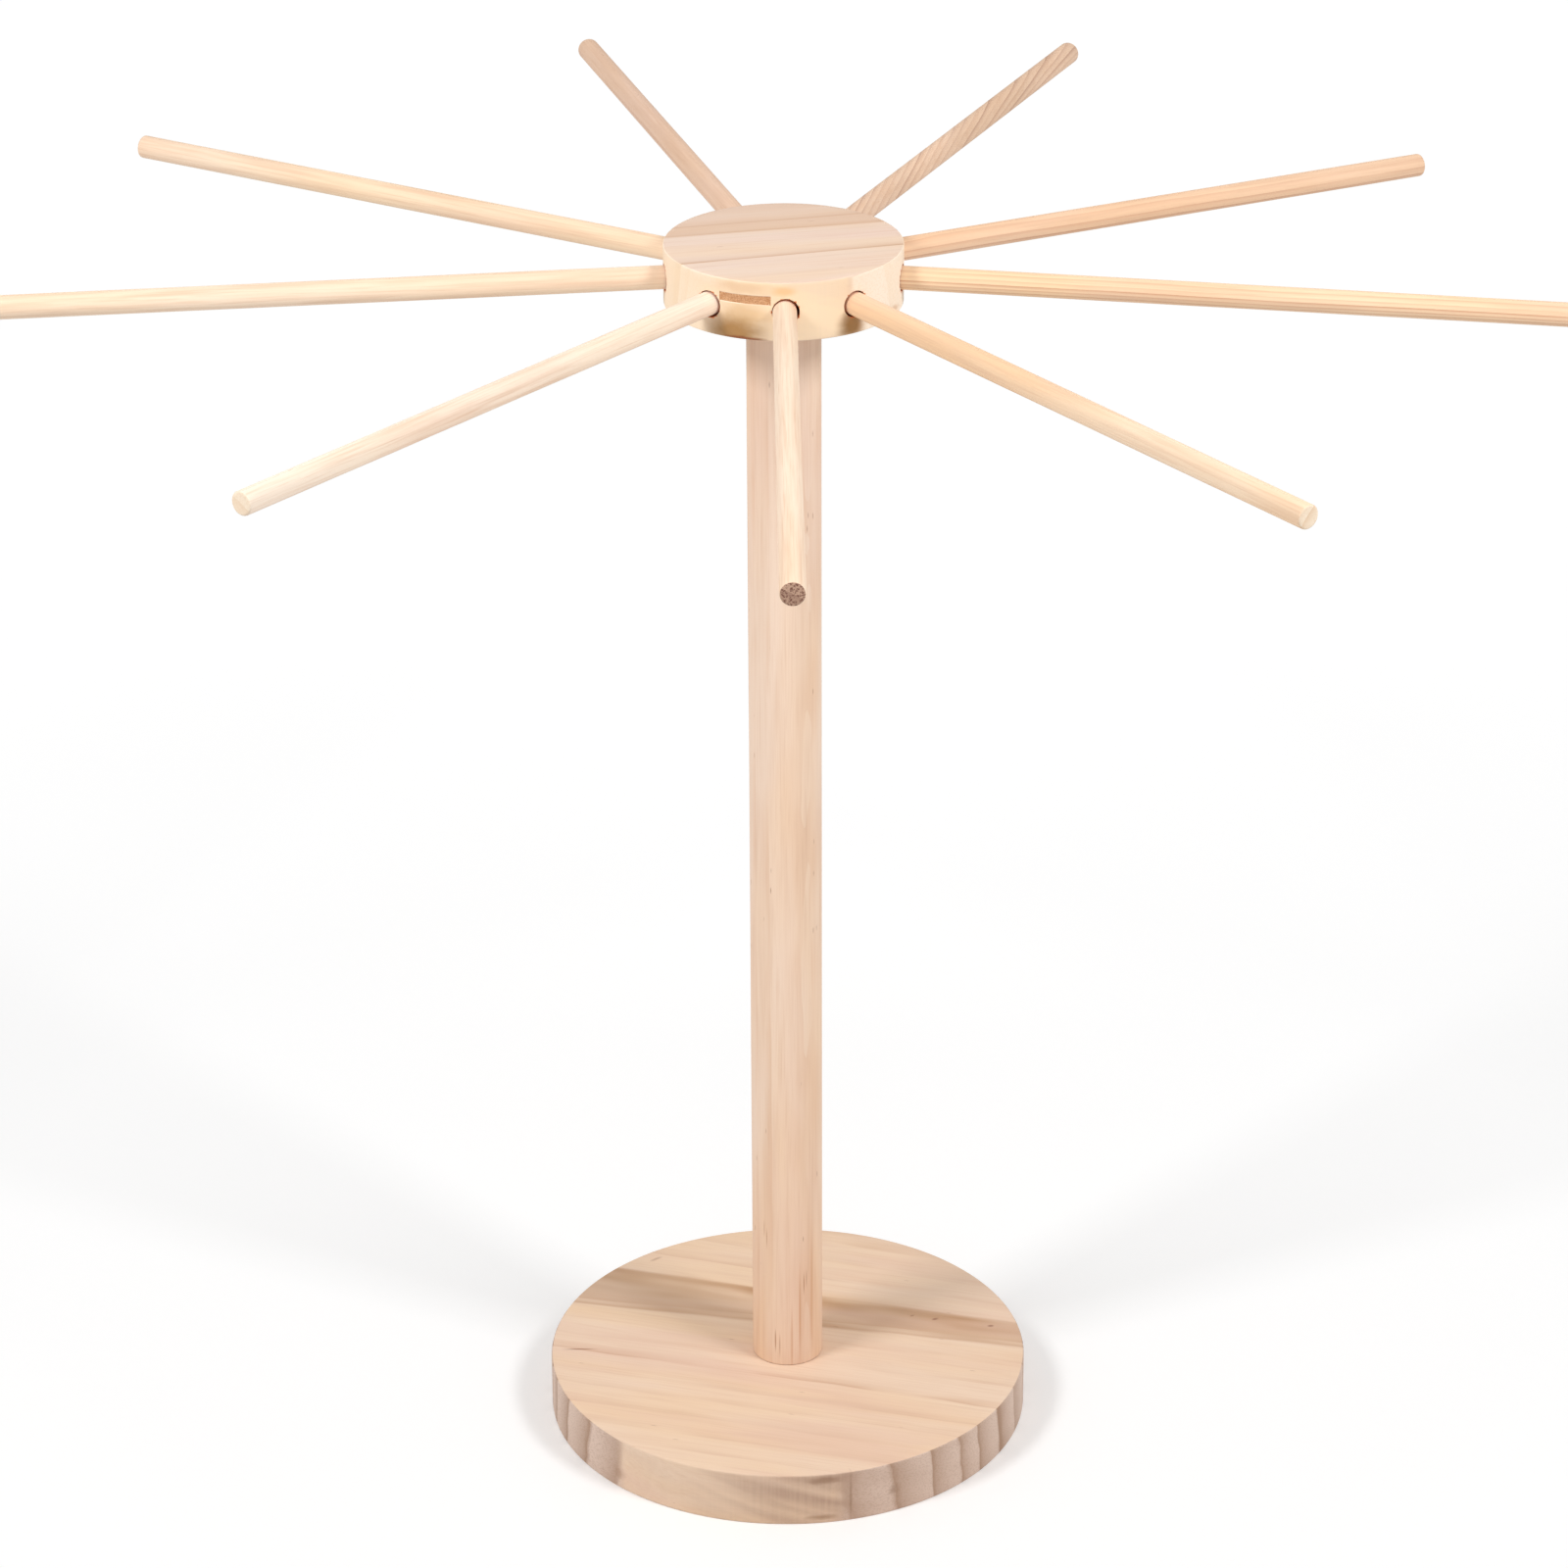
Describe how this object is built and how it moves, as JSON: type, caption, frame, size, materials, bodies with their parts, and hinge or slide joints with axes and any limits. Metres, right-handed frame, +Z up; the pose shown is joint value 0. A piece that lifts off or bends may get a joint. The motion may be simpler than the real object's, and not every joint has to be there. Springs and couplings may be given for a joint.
{
  "type": "pasta drying rack",
  "caption": "Free-standing wooden drying rack: a round base and post carry a turning round hub with loose radial dowel arms that pull out for storage.",
  "frame": {"origin": "centre of the base's underside, on the surface that the rack stands on", "axes": "+Z up along the post; -Y is the front, towards which arm_1 points; +X is to the right seen from the front"},
  "size_m": [0.6111, 0.6065, 0.53],
  "materials": {
    "pine_board": "pale pine, planed and sanded, unvarnished",
    "pine_rod": "pale pine dowel, sanded, unvarnished",
    "beech_pin": "beech dowel, plain",
    "zinc_steel": "zinc-plated steel"
  },
  "bodies": {
    "stand": {"base_disc": "pine_board", "base_washer": "zinc_steel", "base_screw": "zinc_steel", "post": "pine_rod"},
    "pin": {"hub_pin": "beech_pin"},
    "hub": {"hub": "pine_board"},
    "arm_1": {"arm_1": "pine_rod"},
    "arm_2": {"arm_2": "pine_rod"},
    "arm_3": {"arm_3": "pine_rod"},
    "arm_4": {"arm_4": "pine_rod"},
    "arm_5": {"arm_5": "pine_rod"},
    "arm_6": {"arm_6": "pine_rod"},
    "arm_7": {"arm_7": "pine_rod"},
    "arm_8": {"arm_8": "pine_rod"},
    "arm_9": {"arm_9": "pine_rod"}
  },
  "joints": [
    {"name": "hub_lift", "type": "slide", "parent": "stand", "child": "pin", "axis": [0, 0, 1], "range_m": [0, 0.03]},
    {"name": "hub_spin", "type": "hinge", "parent": "pin", "child": "hub", "pos_m": [0, 0, 0.506], "axis": [0, 0, 1], "continuous": true},
    {"name": "arm_1_pull", "type": "slide", "parent": "hub", "child": "arm_1", "axis": [0.0091, -0.9997, -0.0239], "range_m": [0, 0.03]},
    {"name": "arm_2_pull", "type": "slide", "parent": "hub", "child": "arm_2", "axis": [0.5973, -0.8019, -0.0145], "range_m": [0, 0.03]},
    {"name": "arm_3_pull", "type": "slide", "parent": "hub", "child": "arm_3", "axis": [0.9848, -0.1736, 0], "range_m": [0, 0.03]},
    {"name": "arm_4_pull", "type": "slide", "parent": "hub", "child": "arm_4", "axis": [0.8673, 0.4967, -0.0312], "range_m": [0, 0.03]},
    {"name": "arm_5_pull", "type": "slide", "parent": "hub", "child": "arm_5", "axis": [0.4099, 0.9121, 0.0042], "range_m": [0, 0.03]},
    {"name": "arm_6_pull", "type": "slide", "parent": "hub", "child": "arm_6", "axis": [-0.2807, 0.9598, -0.0031], "range_m": [0, 0.03]},
    {"name": "arm_7_pull", "type": "slide", "parent": "hub", "child": "arm_7", "axis": [-0.8703, 0.4924, 0.0078], "range_m": [0, 0.03]},
    {"name": "arm_8_pull", "type": "slide", "parent": "hub", "child": "arm_8", "axis": [-0.9895, -0.1444, 0.0078], "range_m": [0, 0.03]},
    {"name": "arm_9_pull", "type": "slide", "parent": "hub", "child": "arm_9", "axis": [-0.6198, -0.7848, 0.0021], "range_m": [0, 0.03]}
  ]
}
